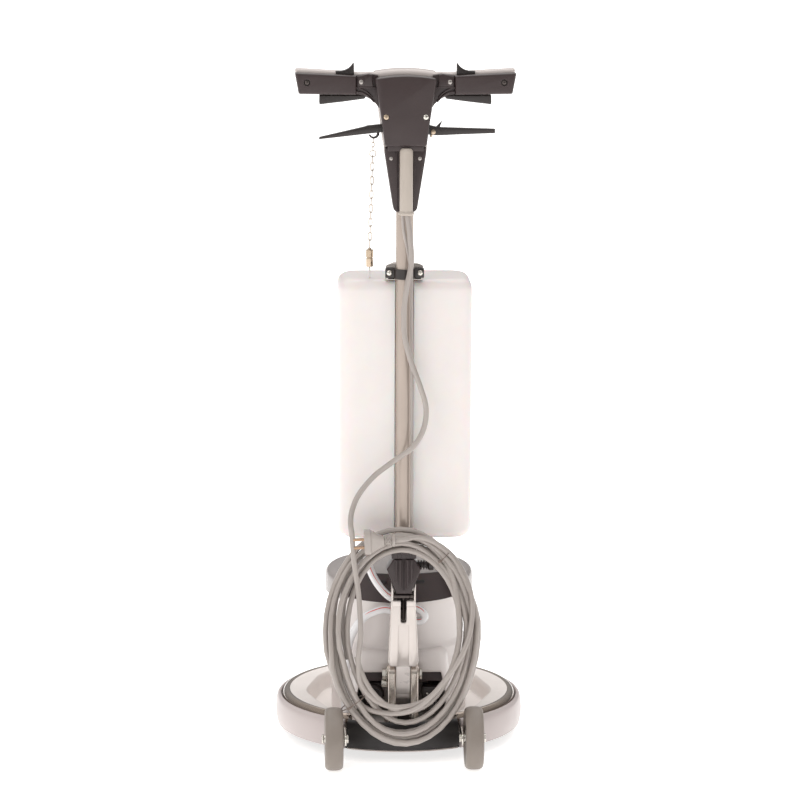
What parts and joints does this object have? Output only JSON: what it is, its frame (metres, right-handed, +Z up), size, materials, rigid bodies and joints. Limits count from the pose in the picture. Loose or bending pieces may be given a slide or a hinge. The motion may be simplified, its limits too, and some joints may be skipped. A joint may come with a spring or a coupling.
{
  "type": "rotary floor machine",
  "caption": "Single-disc rotary floor machine: round shrouded base with motor and pad driver, two transport wheels, and a tilting handle with solution tank, grips and coiled cord.",
  "frame": {"origin": "on the floor, at the middle of the machine's footprint", "axes": "+Z up, -Y towards the operator, +X to the operator's right"},
  "size_m": [0.436, 0.518, 1.1985],
  "materials": {
    "skirt": "pale warm grey moulded plastic, soft sheen",
    "cover": "light warm grey moulded plastic, semi-gloss",
    "casting": "smooth silver-grey casting, satin",
    "aluminium": "polished cast aluminium",
    "zinc": "bright zinc-plated steel",
    "steel": "machined steel",
    "dark": "dark warm grey plastic, fine grain",
    "black": "black plastic",
    "shell": "light grey plastic, satin",
    "pole": "warm grey painted steel tube",
    "cord": "grey flexible cable sheath, semi-matt",
    "tank": "white translucent moulded plastic",
    "tyre": "grey non-marking rubber",
    "hose": "milky flexible hose with a red stripe",
    "brass": "dull brass",
    "copper": "windings and laminations, varnished"
  },
  "bodies": {
    "base": {"skirt_shroud": "skirt", "rear_panel": "black", "base_casting": "casting", "motor_cover": "cover", "cover_panel": "dark", "clevis_bracket": "aluminium", "pivot_bolt": "zinc", "stop_block": "black", "socket_left": "black", "terminal_box": "black", "hose_lower": "hose", "wheel_bracket_left": "steel", "wheel_bracket_right": "steel", "axle_left": "zinc", "axle_right": "zinc", "stator": "steel", "gear_housing": "casting", "ring_gear": "steel"},
    "handle": {"arm_casting": "aluminium", "foot_socket": "dark", "cross_pin": "steel", "pole_tube": "pole", "cord_hook": "dark", "cable_gland": "black", "solution_tank": "tank", "clamp_bracket": "shell", "clamp_strap": "black", "hose_upper": "hose", "clamp_screw_left": "zinc", "clamp_screw_right": "zinc", "console_shell": "shell", "rear_cover": "dark", "stem_cover": "dark", "cord_boot": "cord", "grip_left": "dark", "grip_right": "dark", "power_cord": "cord"},
    "cord_coil": {"cord_coil": "cord", "plug": "cord"},
    "wheel_left": {"wheel_left": "tyre"},
    "wheel_right": {"wheel_right": "tyre"},
    "brush": {"planet_carrier": "steel", "drive_plate": "steel", "pad_driver": "dark", "pad_grip_face": "black"},
    "rotor": {"rotor": "copper", "sun_gear": "steel"},
    "planet_1": {"planet_gear_1": "steel"},
    "planet_2": {"planet_gear_2": "steel"},
    "planet_3": {"planet_gear_3": "steel"},
    "trigger_left": {"trigger_left": "black"},
    "trigger_right": {"trigger_right": "black"},
    "button_left": {"button_left": "black"},
    "button_right": {"button_right": "black"},
    "solution_lever": {"solution_lever": "black"},
    "valve": {"valve_chain": "zinc", "valve_plunger": "brass"},
    "lock_lever": {"lock_lever": "black"},
    "lock_rod": {"lock_rod": "steel"},
    "tank_cap": {"tank_cap": "shell"}
  },
  "joints": [
    {"name": "handle_tilt", "type": "hinge", "parent": "base", "child": "handle", "pos_m": [0.002, -0.101, 0.14], "axis": [1, 0, 0], "range_deg": [0, 40]},
    {"name": "coil_swing", "type": "hinge", "parent": "handle", "child": "cord_coil", "pos_m": [0, -0.155, 0.4], "axis": [1, 0, 0], "range_deg": [-65, 0]},
    {"name": "wheel_left_spin", "type": "hinge", "parent": "base", "child": "wheel_left", "pos_m": [-0.1195, -0.205, 0.054], "axis": [1, 0, 0], "continuous": true},
    {"name": "wheel_right_spin", "type": "hinge", "parent": "base", "child": "wheel_right", "pos_m": [0.1195, -0.205, 0.054], "axis": [1, 0, 0], "continuous": true},
    {"name": "brush_spin", "type": "hinge", "parent": "base", "child": "brush", "pos_m": [0, 0.041, 0.04], "axis": [0, 0, 1], "continuous": true},
    {"name": "rotor_spin", "type": "hinge", "parent": "base", "child": "rotor", "pos_m": [0, 0.041, 0.15], "axis": [0, 0, 1], "continuous": true},
    {"name": "planet_1_spin", "type": "hinge", "parent": "brush", "child": "planet_1", "pos_m": [0, 0.0635, 0.074], "axis": [0, 0, 1], "continuous": true},
    {"name": "planet_2_spin", "type": "hinge", "parent": "brush", "child": "planet_2", "pos_m": [-0.01949, 0.02975, 0.074], "axis": [0, 0, 1], "continuous": true},
    {"name": "planet_3_spin", "type": "hinge", "parent": "brush", "child": "planet_3", "pos_m": [0.01949, 0.02975, 0.074], "axis": [0, 0, 1], "continuous": true},
    {"name": "trigger_left_squeeze", "type": "hinge", "parent": "handle", "child": "trigger_left", "pos_m": [-0.0665, -0.109, 1.143], "axis": [0, 1, 0], "range_deg": [0, 12]},
    {"name": "trigger_right_squeeze", "type": "hinge", "parent": "handle", "child": "trigger_right", "pos_m": [0.0705, -0.109, 1.143], "axis": [0, -1, 0], "range_deg": [0, 12]},
    {"name": "button_left_press", "type": "slide", "parent": "handle", "child": "button_left", "axis": [0, 0, -1], "range_m": [0, 0.004]},
    {"name": "button_right_press", "type": "slide", "parent": "handle", "child": "button_right", "axis": [0, 0, -1], "range_m": [0, 0.004]},
    {"name": "solution_lever_lift", "type": "hinge", "parent": "handle", "child": "solution_lever", "pos_m": [-0.026, -0.109, 1.089], "axis": [0, 1, 0], "range_deg": [0, 15]},
    {"name": "valve_lift", "type": "slide", "parent": "handle", "child": "valve", "axis": [0, 0, 1], "range_m": [0, 0.0065]},
    {"name": "lock_lever_lift", "type": "hinge", "parent": "handle", "child": "lock_lever", "pos_m": [0.032, -0.109, 1.087], "axis": [0, -1, 0], "range_deg": [0, 15]},
    {"name": "lock_rod_lift", "type": "slide", "parent": "handle", "child": "lock_rod", "axis": [0, 0, 1], "range_m": [0, 0.008]},
    {"name": "tank_cap_lift", "type": "slide", "parent": "handle", "child": "tank_cap", "axis": [0, 0, 1], "range_m": [0, 0.03]}
  ],
  "couplings": [
    {"joint": "coil_swing", "follows": "handle_tilt", "ratio": -1.6},
    {"joint": "rotor_spin", "follows": "brush_spin", "ratio": 6},
    {"joint": "planet_1_spin", "follows": "brush_spin", "ratio": -2.5},
    {"joint": "planet_2_spin", "follows": "brush_spin", "ratio": -2.5},
    {"joint": "planet_3_spin", "follows": "brush_spin", "ratio": -2.5},
    {"joint": "valve_lift", "follows": "solution_lever_lift", "m_per_rad": 0.024},
    {"joint": "lock_rod_lift", "follows": "lock_lever_lift", "m_per_rad": 0.03}
  ]
}
